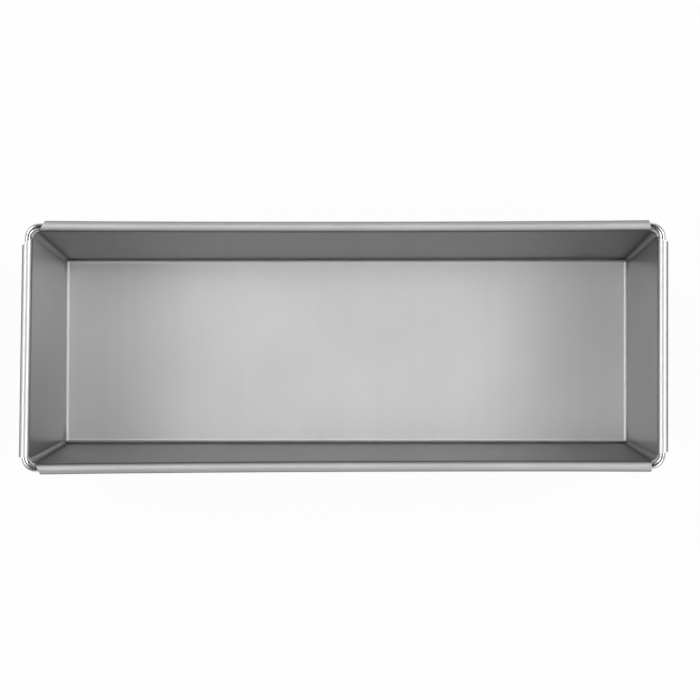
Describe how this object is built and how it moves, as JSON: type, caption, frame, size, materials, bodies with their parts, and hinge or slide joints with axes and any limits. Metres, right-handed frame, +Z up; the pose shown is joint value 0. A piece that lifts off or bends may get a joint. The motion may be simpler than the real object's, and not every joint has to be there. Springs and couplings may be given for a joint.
{
  "type": "loaf pan",
  "caption": "Long loaf pan folded from sheet metal, with flared walls, folded corners and a rim rolled over a wire that shows bare at the corners.",
  "frame": {"origin": "middle of the underside of the floor, the flat face that the pan stands on", "axes": "+X along the pan's length, +Y across its width, +Z up and out of its mouth"},
  "size_m": [0.3218, 0.1258, 0.073],
  "materials": {
    "aluminised_steel": "satin, with the grain of the rolled sheet along the pan",
    "steel_wire": "drawn and polished"
  },
  "bodies": {
    "root": {"pan_sheet": "aluminised_steel", "rim_wire": "steel_wire"}
  },
  "joints": []
}
